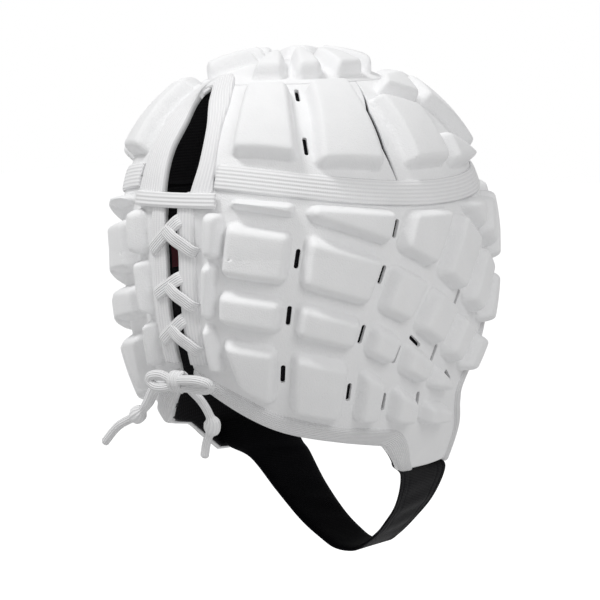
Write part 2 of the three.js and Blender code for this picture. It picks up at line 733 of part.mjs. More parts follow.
function faceBinding() {
  const [, , ...edge] = sideLines(0)[uprightNames.indexOf('face')];
  const right = [...edge].reverse();
  const left = edge.map(([turn, level]) => [360 - turn, level]);
  const [outer, top] = brow;
  const places = trail([...right, outer, top, [360 - outer[0], outer[1]], ...left]);
  return strip([places, beside(places, -faceBindingWidth)], tapeInner, tapeOuter);
}

// Two flat strands that cross, the second lying on the first
function laceCross({ under, over }) {
  const strands = [under, over].map((ends, k) => {
    const base = laceInner + k * laceThickness * 0.8;
    return solidOf(tapeAlong(trail(ends), laceWidth, base, base + laceThickness));
  });
  return geometryOf(joined(strands));
}

// Turns a flat piece's own axes into the cap's at a place: X along the turn, Y up
function laidAt(geometry, place, height) {
  const up = formNormal(...place);
  const along = formPoint(place[0] + 1, place[1]).sub(formPoint(place[0] - 1, place[1])).normalize();
  const basis = new THREE.Matrix4().makeBasis(along, up.clone().cross(along), up);
  return geometry.applyMatrix4(basis.setPosition(capPoint(place, height)));
}

function laceBow() {
  const place = [bow.turn, bow.level];
  const loops = [1, -1].map((side) => {
    const ring = (outline) => outline.map(([x, y]) => new THREE.Vector2(x * bow.reach * side, y * bow.reach));
    const shape = new THREE.Shape(ring(bowLoop));
    shape.holes.push(new THREE.Path(ring(bowHole)));
    const loop = new THREE.ExtrudeGeometry(shape, { depth: bow.thickness, bevelEnabled: false });
    return solidOf(laidAt(loop, place, bow.height - bow.thickness / 2));
  });
  const block = new THREE.CylinderGeometry(bowKnot.top, bowKnot.foot, bowKnot.height, 8).rotateX(Math.PI / 2);
  const knot = solidOf(laidAt(block, place, laceTop + bowKnot.height / 2));
  return geometryOf(joined([knot, ...loops]));
}

function laceTail({ route, knotAt }) {
  const points = route.map((point) => new THREE.Vector3(...point));
  const path = new THREE.CatmullRomCurve3(points, false, 'centripetal');
  const sides = 8;
  const section = new THREE.Shape(Array.from({ length: sides }, (_, k) => {
    const angle = (k / sides) * 2 * Math.PI;
    return new THREE.Vector2(Math.cos(angle), Math.sin(angle)).multiplyScalar(tailDiameter / 2);
  }));
  const steps = Math.ceil(path.getLength() / (2.5 * tailDiameter));
  const cord = new THREE.ExtrudeGeometry(section, { steps, bevelEnabled: false, extrudePath: path });
  const knot = new THREE.SphereGeometry(tailKnot, 7, 5).translate(...route[knotAt]);
  return geometryOf(joined([solidOf(cord), solidOf(knot)]));
}

// Chin strap: from inside one flap, under the chin and up inside the other
function chinStrap() {
  const shares = Array.from({ length: strapColumns + 1 }, (_, k) => k / strapColumns);
  const between = (rear, front) => shares.map((share) => rear.clone().lerp(front, share));
  const seated = [0, 1].map((k) => shares.map((share) => (
    capPoint(mix(strapEnd.rear[k], strapEnd.front[k], share), -strapTuck))));
  const flap = seated[1];
  const [rear, front] = [flap[0], flap[strapColumns]];
  const width = rear.y - front.y;
  const free = strapStations.map(({ across, drop, narrowing }) => {
    const edge = lerp(front.y, chinFront, drop);
    const back = edge + lerp(width, strapChinWidth, narrowing);
    return between(
      new THREE.Vector3(rear.x * across, back, lerp(rear.z, chinLevel, drop)),
      new THREE.Vector3(front.x * across, edge, lerp(front.z, chinLevel, drop)),
    );
  });
  const right = [...seated, ...free];
  const reflected = (point) => new THREE.Vector3(-point.x, point.y, point.z);
  const left = [...right].reverse().map((row) => row.map(reflected));
  const outer = [...right, ...left];
  const inner = outer.map((row, r) => row.map((point, c) => {
    const down = outer[Math.min(r + 1, outer.length - 1)][c].clone().sub(outer[Math.max(r - 1, 0)][c]);
    const along = row[Math.min(c + 1, strapColumns)].clone().sub(row[Math.max(c - 1, 0)]);
    return point.clone().addScaledVector(down.cross(along).normalize(), -strapThickness);
  }));
  return sheet(outer, inner);
}

function patchPiece() {
  const { from, to, height } = innerPatch;
  const lines = [from[1], to[1]].map((level) => trail([[from[0], level], [to[0], level]]));
  return strip(lines, height, height + patchThickness);
}

const group = new THREE.Group();
function addPiece(name, geometry, material) {
  const mesh = new THREE.Mesh(geometry, material);
  mesh.name = name;
  group.add(mesh);
}

const bothFlips = [['right', same], ['left', mirrored]];
const leftSide = sidePanelSolid();
const sideSolids = { left: leftSide, right: leftSide.mirror([1, 0, 0]) };
addPiece('crown_lining', crownLining(), materials.lining);
addPiece('side_lining', sideLining(), materials.lining);
addPiece('crown_top', crownTopPanel(), materials.foam);
addPiece('crown_front', crownFrontPanel(), materials.foam);
addPiece('forehead_panel', foreheadPanel(), materials.foam);
for (const [side, flip] of bothFlips) {
  addPiece(`crown_back_${side}`, crownBackPanel(side), materials.foam);
  addPiece(`side_panel_${side}`, geometryOf(sideSolids[side]), materials.foam);
  addPiece(`lace_tape_${side}`, laceTapePiece(flip), materials.tape);
  addPiece(`neck_binding_${side}`, tapeOf(neckBinding, [0, 1], flip), materials.tape);
}
addPiece('head_band', headBand(), materials.tape);
addPiece('slit_trim', tapeOf(slitArch, [0, 0.5, 1], same), materials.tape);
addPiece('slit_bar', slitBar(), materials.tape);
addPiece('face_binding', faceBinding(), materials.tape);
for (const pair of lacePairs) addPiece(pair.name, laceCross(pair), materials.lace);
addPiece('lace_bow', laceBow(), materials.lace);
for (const tail of tails) addPiece(tail.name, laceTail(tail), materials.lace);
addPiece('chin_strap', chinStrap(), materials.strap);
addPiece('inner_patch', patchPiece(), materials.patch);

export default group;
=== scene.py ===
"""Padded white scrum cap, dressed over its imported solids.

A place on the cap is a turn, in degrees from the back of the head towards the
wearer's right, and a level, in degrees down from the crown's top. Shapes are worked
out in millimetres and made in metres.
"""

import bmesh
import bpy
import numpy as np
from mathutils import Matrix


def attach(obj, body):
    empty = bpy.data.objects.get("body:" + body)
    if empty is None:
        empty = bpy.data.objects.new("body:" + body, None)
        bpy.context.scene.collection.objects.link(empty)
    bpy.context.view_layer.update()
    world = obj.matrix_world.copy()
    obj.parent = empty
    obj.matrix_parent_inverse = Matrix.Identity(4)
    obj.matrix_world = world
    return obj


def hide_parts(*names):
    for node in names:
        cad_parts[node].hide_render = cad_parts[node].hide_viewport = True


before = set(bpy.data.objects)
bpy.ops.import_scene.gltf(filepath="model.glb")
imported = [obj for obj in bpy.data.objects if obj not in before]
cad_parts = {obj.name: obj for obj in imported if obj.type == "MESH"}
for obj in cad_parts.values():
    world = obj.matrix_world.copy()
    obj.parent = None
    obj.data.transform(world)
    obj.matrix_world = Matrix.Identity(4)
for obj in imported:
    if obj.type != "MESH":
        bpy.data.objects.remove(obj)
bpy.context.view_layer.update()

MM = 0.001

# The photograph's camera: angles in degrees, lengths in metres, lens and sensor in millimetres
CAMERA = {"angles": [219.83, 6.78, -1.36], "target": [-0.0019, 0, -0.1191], "distance": 1.4,
          "lens": 164.5, "sensor": 36}
LIGHTS = [
    {"name": "key", "place": (0.35, 0.75, 1.45), "size": 0.5, "power": 14},
    {"name": "side", "place": (-1.3, 0.5, 0.7), "size": 0.7, "power": 4.5},
]
LIGHT_TARGET = (0, 0, -0.12)
FLOOR = {"reach": 6, "height": -0.62}

# Head form
HALF_WIDTH = 81
BACK_DEPTH = 98
FRONT_DEPTH = 102
CROWN_HEIGHT = 88
SKIRT_DROP = 120
CROWN_SHIFT = 9
BOXINESS = 2.15
EGG_SHAPE = 0.03
SIDE_TAPER = 0.35
BACK_TAPER = 0.56
FRONT_TAPER = 0.11
TAPER_POWER = 2.6

# Heights off the head
LINING = 1.2
WEB_INNER = 1.5
WEB = 3.5
PAD = 8
TAPE_INNER = 3.7
TAPE = 5.15
LACE = 6.65
CHANNEL = 6
SHOULDER = 4.2
PAD_CORNER = 4.6
GRID_STEP = 1.05
LINING_STEP = 3
SEAM = 0.12

# Trims
# Level of the band's middle: its mean, then its waves once and twice round the head
BAND_LEVEL = {"mean": 70, "once": 1.8, "twice": 3.4}
# The crown's slit leans: the turn gained in each rise above the start, fading out to the sides
LEAN = {"start": 62, "rise": 30, "turn": 5, "fade": 60}
BAND_WIDTH = 12
BAR_WIDTH = 7
LACE_TAPE_WIDTH = 9
FACE_BINDING_WIDTH = 4.4
LACE_WIDTH = 6.2
TAIL_DIAMETER = 4.5
TAIL_FLATNESS = 0.86
TAIL_KNOT = {"size": 2.0, "length": 3.8}
TAIL_SWELL = {"size": 1.35, "length": 11}
STRAP_THICKNESS = 2.4
STRAP_CHIN_WIDTH = 31
STRAP_TUCK = 1.6
CHIN_FRONT = -65
CHIN_LEVEL = -256
VENT_LENGTH = 9.5
VENT_WIDTH = 2.3

# Channels of a side panel, from the slit to the face; rows from the band to the rim
UPRIGHTS = {
    "slit": [[3, 71], [3, 71], [3, 80], [3, 99], [3, 115], [3, 130], [4, 137.5]],
    "A": [[21, 70], [21, 70], [18.7, 76.5], [15.2, 98.5], [13.7, 115.3], [17.5, 138], [19, 149]],
    "B": [[43.8, 72], [43.8, 72], [42.6, 80.5], [39.2, 102.7], [36.6, 120], [32, 147], [32.5, 155.5]],
    "C": [[76, 76], [76, 76], [69.8, 91], [62.5, 112], [57.9, 127.4], [53.5, 153], [54, 160.3]],
    "D": [[99.5, 77], [99.5, 77], [85.5, 101], [75.5, 120], [70, 135], [67.5, 154.5], [70, 163]],
    "E": [[119, 76.5], [112, 89], [98.3, 112], [88.8, 130.3], [84, 143.6], [84.5, 158], [84, 174.3]],
    "F": [[131, 75.5], [124, 101], [109, 122], [98.5, 138.6], [102, 149], [103, 160], [104, 175.5]],
    "face": [[143, 75], [137, 105], [123, 127], [110, 143], [110, 151], [117, 162], [121, 176]],
}
ROWS = ["top", "upper", "first", "second", "third", "binding", "rim"]
SIDE_PADS = {
    "A": ["upper", "first", "second", "third"],
    "B": ["upper", "first", "second", "third"],
    "C": ["upper", "first", "second", "third"],
    "D": ["upper", "first", "second", "third"],
    "E": ["top", "upper", "first", "second", "third"],
    "F": ["top", "upper", "first"],
}
BROW = [[158, 100], [180, 98]]

# Pads by their corners: upper and lower on the slit's side and on the face's side
LOOSE_SIDE_PADS = [
    [[103, 78], [117.5, 77], [112.5, 88], [111, 88]],
    [[12.5, 76], [19.5, 76], [18, 90.5], [12, 90.5]],
    [[11.4, 92], [16.5, 92], [14.4, 112], [10.4, 112]],
    [[10.2, 114], [14.2, 114], [16, 131], [10.6, 131]],
]
CROWN_BACK_PADS = [
    [[21, 33.5], [43.5, 33.5], [44, 61.5], [20.8, 59.5]],
    [[50, 33], [74, 32.5], [72.5, 65.5], [49, 63.5]],
]
CROWN_FRONT_PADS = [
    [[81, 39], [103, 45.5], [101.5, 66], [82, 65.5]],
    [[105.5, 54.5], [130, 66], [122, 67.5], [104, 67]],
    [[98, 32], [130, 32], [110, 45], [89, 38]],
    [[117, 43.5], [146, 34], [146, 64], [133, 64]],
    [[149, 34], [178, 33], [178, 62.5], [149, 63.5]],
]
CROWN_TOP_PADS = [
    [[16, 9], [40, 13], [42, 27.5], [19, 27.5]],
    [[42, 7], [76, 9], [66, 27], [46, 27.5]],
    [[86, 8], [116, 13], [101, 27.5], [73, 27.5]],
    [[128, 9], [172, 9], [176, 27.5], [112, 27.5]],
]
FOREHEAD_PADS = [
    [[146, 75], [161, 74], [160, 95], [143, 98]],
    [[164, 73.5], [178.5, 73], [178.5, 93], [163, 94.5]],
]
VENTS_ON_UPRIGHTS = {
    "B": [90.7, 111, 132.3],
    "C": [83.2, 98.3, 119.3, 140.4],
    "D": [128, 145.5],
    "E": [110.9, 130, 147],
}
SLANTED_VENTS = [[[79.8, 124.2], [86, 130]], [[98.4, 140], [102.5, 144.6]]]
CROWN_VENTS = [[[46.8, 36], [46.9, 46]], [[47, 56], [47, 66]]]

# The slit's arch of tape: inner and outer edges
SLIT_ARCH = {
    "inner": [[7, 71.3], [9, 60], [6.8, 48], [-1, 37.5], [-7, 32.5], [-10, 31.3], [-13.5, 33], [-10, 39],
              [-6, 47], [-6, 58], [-4.5, 71.3]],
    "outer": [[15.5, 71.3], [15, 61], [14, 49], [12, 38], [4, 28], [-9, 23.5], [-18.5, 27], [-21, 40],
              [-19.5, 51], [-18.5, 61], [-18.5, 71.3]],
}
NECK_BINDING = {
    "inner": [[3.4, 131], [17.7, 139.6], [32.1, 148], [53.6, 153.8], [67.8, 155.8], [80, 159.5],
              [94, 174.7]],
    "outer": [[4, 137.3], [19, 148.8], [32.5, 155.3], [54, 160.1], [70, 162.8], [76.8, 168.3],
              [84.3, 174.1]],
}
BAR = {"level": 72.8, "end": 17}
BAND_ENDS = [16.2, 340.2]
LACE_TAPE = {"edge": 2.6, "top": 73, "bottom": 129}
CROWN_LEVELS = [30, 44, 58]
SLIT_EDGE = {"right": [-11, 8.5, 11.5, 10.5], "left": [-11, -17, -13, -11]}
SLIT_TOP = 70.9
DART = [86.5, 77.5, 75.8, 77.5]
DART_GAPS = [0.5, 2.6, 2.4, 0.4]

LACES = {
    "lace_upper_cross": {"under": [[-9.6, 89], [4.5, 78]], "over": [[-2.5, 81], [9.6, 88.6]]},
    "lace_middle_cross": {"under": [[-8.4, 105], [4, 97]], "over": [[-2.5, 100], [8.4, 108.5]]},
    "lace_lower_cross": {"under": [[-8.2, 121.8], [4, 112]], "over": [[-3, 115], [8.2, 124.5]]},
}
BOW = {"turn": 0, "level": 133, "height": 14, "reach": 21}
# Middle lines of the bow's two loops, as shares of its reach along and up
BOW_LOOPS = [
    [[0.05, 0.08], [0.4, 0.15], [0.75, 0.17], [1.05, 0.1], [1.08, -0.03], [0.8, -0.12], [0.42, -0.11],
     [0.05, -0.07]],
    [[-0.05, 0.06], [-0.28, 0.14], [-0.5, 0.17], [-0.76, 0.12], [-0.8, -0.02], [-0.6, -0.11], [-0.34, -0.1],
     [-0.05, -0.05]],
]
BOW_WRAPS = [-2.2, 0.4, 2.8]
# Routes of the lace's free ends in metres, and the point that carries the knot
TAILS = {
    "lace_tail_left": (4, [
        [0.0052, 0.0887, -0.1512], [0.013, 0.0883, -0.1533], [0.02, 0.087, -0.155], [0.027, 0.085, -0.163],
        [0.036, 0.083, -0.17], [0.05, 0.0825, -0.177], [0.061, 0.082, -0.187]]),
    "lace_tail_right": (3, [
        [-0.004, 0.0885, -0.1529], [-0.0095, 0.0865, -0.1585], [-0.0123, 0.084, -0.165],
        [-0.0127, 0.082, -0.1715], [-0.008, 0.081, -0.18], [-0.0055, 0.0805, -0.1885]]),
}
# Chin strap's stations: shares across, of the drop and of the narrowing, and how far
# its front edge flares forward and out
STRAP_STATIONS = [
    [0.91, 0.16, 0.65, 7],
    [0.73, 0.47, 0.92, 5],
    [0.49, 0.74, 0.97, 1],
    [0.28, 0.9, 1, 0],
    [0.11, 0.985, 1, 0],
]
FLARE_WAY = np.array([-0.6, -0.8, 0])
STRAP_END = {"rear": [[86, 166], [86, 174.4]], "front": [[118, 167.5], [120, 175.8]]}
STRAP_SEAMS = [0.07, 0.19, 0.81, 0.93]
PATCH = {"turns": [-78, -100], "levels": [92, 103], "height": -3.4}


def placed(right, up, back, place):
    """A world matrix from three axes and a place."""
    columns = np.stack([right, up, back, place])
    return Matrix([*columns.T.tolist(), [0, 0, 0, 1]])


# The camera, at the photograph's angle
def make_camera():
    """Basis from azimuth, elevation and roll; the place is the target plus the back vector."""
    azimuth, elevation, roll = np.radians(CAMERA["angles"])
    flat = np.cos(elevation)
    back = np.array([np.sin(azimuth) * flat, -np.cos(azimuth) * flat, np.sin(elevation)])
    level = np.array([np.cos(azimuth), np.sin(azimuth), 0])
    rise = np.cross(back, level)
    right = np.cos(roll) * level + np.sin(roll) * rise
    up = np.cos(roll) * rise - np.sin(roll) * level
    place = np.array(CAMERA["target"]) + CAMERA["distance"] * back
    data = bpy.data.cameras.new("camera")
    data.lens = CAMERA["lens"]
    data.sensor_width = CAMERA["sensor"]
    data.clip_end = 50
    camera = bpy.data.objects.new("camera", data)
    camera.matrix_world = placed(right, up, back, place)
    bpy.context.collection.objects.link(camera)
    bpy.context.scene.camera = camera


# Points on the head form
def form_point(turn, level):
    """A superellipse dome down to level 90, and below it a skirt that falls straight and draws in."""
    angle = np.radians(turn)
    dome = np.radians(np.minimum(level, 90))
    skirt = np.maximum(level - 90, 0) / 90
    sine = np.abs(np.sin(dome))
    cosine = np.abs(np.cos(dome))
    reach = (sine**BOXINESS + cosine**BOXINESS) ** (-1 / BOXINESS)
    taper = skirt**TAPER_POWER
    width = HALF_WIDTH * (1 - SIDE_TAPER * taper) * (1 + EGG_SHAPE * np.cos(angle))
    back = BACK_DEPTH * (1 - BACK_TAPER * taper)
    front = FRONT_DEPTH * (1 - FRONT_TAPER * taper)
    depth = np.where(np.cos(angle) > 0, back, front)
    fall = 1 - np.where(level < 90, reach * cosine, 0)
    return np.stack([
        -width * reach * sine * np.sin(angle),
        depth * reach * sine * np.cos(angle) - CROWN_SHIFT * fall,
        -CROWN_HEIGHT * fall - SKIRT_DROP * skirt,
    ], axis=-1)


def form_normal(turn, level):
    """The unit cross product of the form's small steps down and along."""
    step = 0.2
    place = np.maximum(level, 2 * step)
    along = form_point(turn + step, place) - form_point(turn - step, place)
    down = form_point(turn, place + step) - form_point(turn, place - step)
    normal = np.cross(down, along)
    return normal / np.linalg.norm(normal, axis=-1, keepdims=True)


def cap_point(places, height):
    """The form's point plus the height along its normal."""
    places = np.asarray(places, float)
    turn, level = places[..., 0], places[..., 1]
    height = np.asarray(height, float)[..., None] if np.ndim(height) else height
    return form_point(turn, level) + form_normal(turn, level) * height


def band_middle(turn):
    """The level of the head band's middle: a mean less a wave once and a wave twice round."""
    angle = np.radians(turn)
    once = BAND_LEVEL["once"] * np.cos(angle)
    return BAND_LEVEL["mean"] - once - BAND_LEVEL["twice"] * np.cos(2 * angle)


def leaned(places):
    """Places turned with the crown's lean, which grows upwards and fades to both sides."""
    places = np.array(places, float)
    rise = np.maximum(LEAN["start"] - places[..., 1], 0) / LEAN["rise"]
    fade = np.maximum(1 - np.abs(places[..., 0]) / LEAN["fade"], 0)
    places[..., 0] -= LEAN["turn"] * rise * fade
    return places


def mirrored(places):
    """The places on the other side of the head."""
    return np.asarray(places, float) * [-1, 1]


def lines_grid(lines, step):
    """Places between neighbouring lines of places, linear both ways, at about the step in millimetres."""
    lines = np.asarray(lines, float)
    points = cap_point(lines, WEB)
    across = np.linalg.norm(np.diff(points, axis=0), axis=-1).max(axis=1)
    down = np.linalg.norm(np.diff(points, axis=1), axis=-1).max(axis=0)

    def shares(lengths):
        counts = np.maximum(np.ceil(lengths / step).astype(int), 1)
        return np.concatenate([k + np.arange(n) / n for k, n in enumerate(counts)] + [[len(counts)]])

    s, t = shares(across), shares(down)
    i, j = np.minimum(s.astype(int), len(lines) - 2), np.minimum(t.astype(int), lines.shape[1] - 2)
    a, b = (s - i)[:, None, None], (t - j)[None, :, None]
    upper = lines[i][:, j] * (1 - a) + lines[i + 1][:, j] * a
    lower = lines[i][:, j + 1] * (1 - a) + lines[i + 1][:, j + 1] * a
    return upper * (1 - b) + lower * b


def smooth_line(points, count):
    """A Catmull-Rom curve through the points, taken at even shares of its length."""
    points = np.asarray(points, float)
    points = np.concatenate([2 * points[:1] - points[1:2], points, 2 * points[-1:] - points[-2:-1]])
    t = np.linspace(0, len(points) - 3, 40 * (len(points) - 3) + 1)
    k = np.minimum(t.astype(int), len(points) - 4)
    u = (t - k)[:, None]
    p0, p1, p2, p3 = (points[k + n] for n in range(4))
    square = (2 * p0 - 5 * p1 + 4 * p2 - p3) * u**2
    cube = (3 * p1 - p0 - 3 * p2 + p3) * u**3
    curve = 0.5 * (2 * p1 + (p2 - p0) * u + square + cube)
    run = np.concatenate([[0], np.cumsum(np.linalg.norm(np.diff(curve, axis=0), axis=1))])
    even = np.linspace(0, run[-1], count)
    return np.stack([np.interp(even, run, curve[:, n]) for n in range(curve.shape[1])], axis=-1)


def pad_relief(points, pads):
    """Height over the web: each pad rises on a superellipse shoulder from its rounded outline to a broad
    top that crowns slightly; the distance inside is the least of those to the four edges' planes, with the
    corners rounded."""
    relief = np.zeros(points.shape[:-1])
    for corners, inset in pads:
        foot = cap_point(corners, WEB)
        middle = foot.mean(axis=0)
        centre = np.asarray(corners, float).mean(axis=0)
        up = form_normal(centre[0], centre[1])
        near = np.linalg.norm(points - middle, axis=-1) < np.linalg.norm(foot - middle, axis=-1).max() + 2
        away = []
        for a, b in zip(foot, np.roll(foot, -1, axis=0)):
            inward = np.cross(up, b - a)
            length = np.linalg.norm(inward)
            if length < 3:
                continue
            inward *= np.sign(inward @ (middle - a)) / length
            away.append((points - a) @ inward - inset)
        away = np.stack(away)
        radius = min(PAD_CORNER, max(away[:, near].min(axis=0).max() * 0.8, 1))
        inside = radius - np.linalg.norm(np.maximum(radius - away, 0), axis=0)
        inside = np.where((away.min(axis=0) > 0) & near, inside, 0)
        rise = np.clip(inside / SHOULDER, 0, 1)
        shoulder = (1 - (1 - rise) ** 2.2) ** 0.95
        crown = 0.5 * (1 - np.exp(-np.maximum(inside - 2, 0) / 6))
        relief = np.maximum(relief, (PAD - 0.4) * shoulder + crown)
    return relief


# Meshes
def mesh_object(name, corners, faces, uv=None):
    """An object from corners in millimetres and quads, wound so that its volume is positive."""
    corners = np.asarray(corners, float).reshape(-1, 3)
    first, second, third, fourth = (corners[faces[:, k]] for k in range(4))
    volume = np.einsum("ij,ij->", first, np.cross(second, third) + np.cross(third, fourth))
    if volume < 0:
        faces = faces[:, ::-1]
    mesh = bpy.data.meshes.new(name)
    mesh.from_pydata((corners * MM).tolist(), [], faces.tolist())
    if uv is not None:
        layer = mesh.uv_layers.new(name="UVMap")
        loops = np.zeros(len(mesh.loops), np.int64)
        mesh.loops.foreach_get("vertex_index", loops)
        layer.data.foreach_set("uv", (uv.reshape(-1, 2)[loops] * MM).ravel())
    mesh.polygons.foreach_set("use_smooth", np.ones(len(mesh.polygons), bool))
    mesh.update()
    made = bpy.data.objects.new(name, mesh)
    bpy.context.collection.objects.link(made)
    return made


def shell(name, outer, inner, closed=False):
    """A closed wall between two grids, with a rim along their open edges; uv is the length along rows and
    columns of the outer grid."""
    rows, columns = outer.shape[:2]
    index = np.arange(2 * rows * columns).reshape(2, rows, columns)
    ring = np.concatenate([index, index[:, :1]], axis=1) if closed else index

    def quads(a, b, c, d):
        return np.stack([a, b, c, d], axis=-1).reshape(-1, 4)

    top, base = ring
    faces = [
        quads(top[:-1, :-1], top[1:, :-1], top[1:, 1:], top[:-1, 1:]),
        quads(base[:-1, :-1], base[:-1, 1:], base[1:, 1:], base[1:, :-1]),
        quads(top[:-1, 0], base[:-1, 0], base[1:, 0], top[1:, 0]),
        quads(top[:-1, -1], top[1:, -1], base[1:, -1], base[:-1, -1]),
    ]
    if not closed:
        faces += [
            quads(top[0, :-1], top[0, 1:], base[0, 1:], base[0, :-1]),
            quads(top[-1, :-1], base[-1, :-1], base[-1, 1:], top[-1, 1:]),
        ]
    u = np.zeros((rows, columns))
    v = np.zeros((rows, columns))
    u[1:] = np.cumsum(np.linalg.norm(np.diff(outer, axis=0), axis=-1).mean(axis=1))[:, None]
    v[:, 1:] = np.cumsum(np.linalg.norm(np.diff(outer, axis=1), axis=-1), axis=1)
    uv = np.stack([u, v], axis=-1)
    return mesh_object(name, np.stack([outer, inner]), np.concatenate(faces), np.stack([uv, uv]))


def tube(name, path, wide, thick, knots=(), sides=20, closed=False):
    """A rounded section carried along a path in millimetres, with swellings at the knots' shares, and
    closed to a point at free ends."""
    path = np.asarray(path, float)
    count = len(path)
    tangent = np.gradient(path, axis=0)
    if closed:
        tangent = np.roll(path, -1, axis=0) - np.roll(path, 1, axis=0)
    tangent /= np.linalg.norm(tangent, axis=1, keepdims=True)
    out = np.array([0, 1.0, 0.12])
    side = np.cross(tangent, out)
    side /= np.linalg.norm(side, axis=1, keepdims=True)
    lift = np.cross(side, tangent)
    angle = np.linspace(0, 2 * np.pi, sides, endpoint=False)
    share = np.linspace(0, 1, count)
    run = share * np.linalg.norm(np.diff(path, axis=0), axis=1).sum()
    swell = np.ones(count)
    for at, size, length in knots:
        swell += (size - 1) * np.exp(-(((run - at) / length) ** 4))
    end = np.ones(count)
    if not closed:
        end = np.sqrt(np.clip(np.minimum(run, run[-1] - run) / 1.2, 0, 1))
    scale = (swell * end)[:, None, None]
    ring = path[:, None] + scale * (
        side[:, None] * np.cos(angle)[None, :, None] * wide / 2
        + lift[:, None] * np.sin(angle)[None, :, None] * thick / 2)
    index = np.arange(count * sides).reshape(count, sides)
    index = np.concatenate([index, index[:, :1]], axis=1)
    if closed:
        index = np.concatenate([index, index[:1]], axis=0)
    corners = [index[:-1, :-1], index[1:, :-1], index[1:, 1:], index[:-1, 1:]]
    faces = np.stack(corners, axis=-1).reshape(-1, 4)
    u = np.repeat(run[:, None], sides, axis=1)
    v = np.repeat((angle * wide / 2)[None], count, axis=0)
    return mesh_object(name, ring, faces, np.stack([u, v], axis=-1))


def merged(name, objects):
    """One object of several."""
    if len(objects) > 1:
        with bpy.context.temp_override(active_object=objects[0], selected_editable_objects=objects):
            bpy.ops.object.join()
    whole = objects[0]
    whole.name = name
    return whole


def welded(made, distance=0.02):
    """The object with corners nearer than the distance in millimetres drawn together."""
    work = bmesh.new()
    work.from_mesh(made.data)
    bmesh.ops.remove_doubles(work, verts=work.verts, dist=distance * MM)
    work.to_mesh(made.data)
    work.free()
    return made


def ribbon(name, edges, inner, outer, columns=14, rounding=0.5, lift=0):
    """A tape between two edges of places: its top is outer less a rounding that grows with the sixth power
    of the distance from the middle."""
    first, second = (np.asarray(edge, float) for edge in edges)
    share = np.linspace(0, 1, columns)[None, :, None]
    places = first[:, None] * (1 - share) + second[:, None] * share
    across = 2 * share[0, :, 0] - 1
    top = outer - rounding * np.abs(across) ** 6 * np.ones(len(first))[:, None]
    return shell(name, cap_point(places, top + lift), cap_point(places, inner + lift + 0 * top))


def beside(places, length):
    """Places a length to one side of a line of places."""
    places = np.asarray(places, float)
    before = np.concatenate([places[:1], places[:-1]])
    after = np.concatenate([places[1:], places[-1:]])
    here = form_point(places[:, 0], places[:, 1])
    per_turn = 1 / np.linalg.norm(form_point(places[:, 0] + 1, places[:, 1]) - here, axis=-1)
    per_level = 1 / np.linalg.norm(form_point(places[:, 0], places[:, 1] + 1) - here, axis=-1)
    across = (after[:, 0] - before[:, 0]) / per_turn
    down = (after[:, 1] - before[:, 1]) / per_level
    share = length / np.hypot(across, down)
    turn = places[:, 0] - down * share * per_turn
    level = places[:, 1] + across * share * per_level
    return np.stack([turn, level], axis=-1)


def tape_along(name, places, width, inner, outer, lift=0, rounding=0.5):
    """A tape of even width along a line of places."""
    edges = [beside(places, -width / 2), beside(places, width / 2)]
    return ribbon(name, edges, inner, outer, rounding=rounding, lift=lift)


# Panels
def vent_slots(vents):
    """Slots with rounded ends, as prisms from below the lining to above the web, in one mesh."""
    corners, faces, start = [], [], 0
    angle = np.linspace(0, 2 * np.pi, 20, endpoint=False)
    for place, towards in vents:
        centre = cap_point(place, 0)
        up = form_normal(np.float64(place[0]), np.float64(place[1]))
        along = cap_point(towards, 0) - centre
        along -= (along @ up) * up
        along /= np.linalg.norm(along)
        across = np.cross(up, along)
        radius = VENT_WIDTH / 2
        straight = VENT_LENGTH / 2 - radius
        outline = (along * (np.sign(np.cos(angle)) * straight + radius * np.cos(angle))[:, None]
                   + across * (radius * np.sin(angle))[:, None])
        rings = [centre + up * height + outline for height in (LINING + 0.15, WEB + PAD)]
        corners += rings
        count = len(angle)
        k = np.arange(count)
        after = (k + 1) % count
        faces += np.stack([start + k, start + after, start + count + after, start + count + k], -1).tolist()
        faces.append((start + k[::-1]).tolist())
        faces.append((start + count + k).tolist())
        start += 2 * count
    mesh = bpy.data.meshes.new("slots")
    mesh.from_pydata((np.concatenate(corners) * MM).tolist(), [], faces)
    slots = bpy.data.objects.new("slots", mesh)
    bpy.context.collection.objects.link(slots)
    return slots


def cut_vents(panel, vents):
    """The panel less its slots, with the cut applied."""
    slots = vent_slots(vents)
    cut = panel.modifiers.new("vents", "BOOLEAN")
    cut.operation = "DIFFERENCE"
    cut.solver = "EXACT"
    cut.object = slots
    cut_mesh = bpy.data.meshes.new_from_object(panel.evaluated_get(bpy.context.evaluated_depsgraph_get()))
    panel.modifiers.clear()
    panel.data = cut_mesh
    bpy.data.objects.remove(slots)
    return panel


def panel(name, lines, pads, vents=()):
    """A web on the lines' grid, raised by the pads' relief, with a plain inner face."""
    places = lines_grid(lines, GRID_STEP)
    web = cap_point(places, WEB)
    height = WEB + pad_relief(web, pads)
    made = welded(shell(name, cap_point(places, height), cap_point(places, WEB_INNER)))
    if len(vents):
        cut_vents(made, vents)
    finish(made, "foam", name.removesuffix("_foam"))


def side_lines(shift):
    """A side panel's lines from the band to the rim, with the face line shifted in turn."""
    lines = []
    for name, places in UPRIGHTS.items():
        turn = places[0][0]
        line = np.array([[turn, band_middle(turn) + SEAM]] + places, float)
        line[:, 0] += shift if name == "face" else 0
        # Beside the slit the panel stops under the bar
        line[0, 1] = SLIT_TOP if name == "slit" else line[0, 1]
        lines.append(line)
    return np.array(lines)


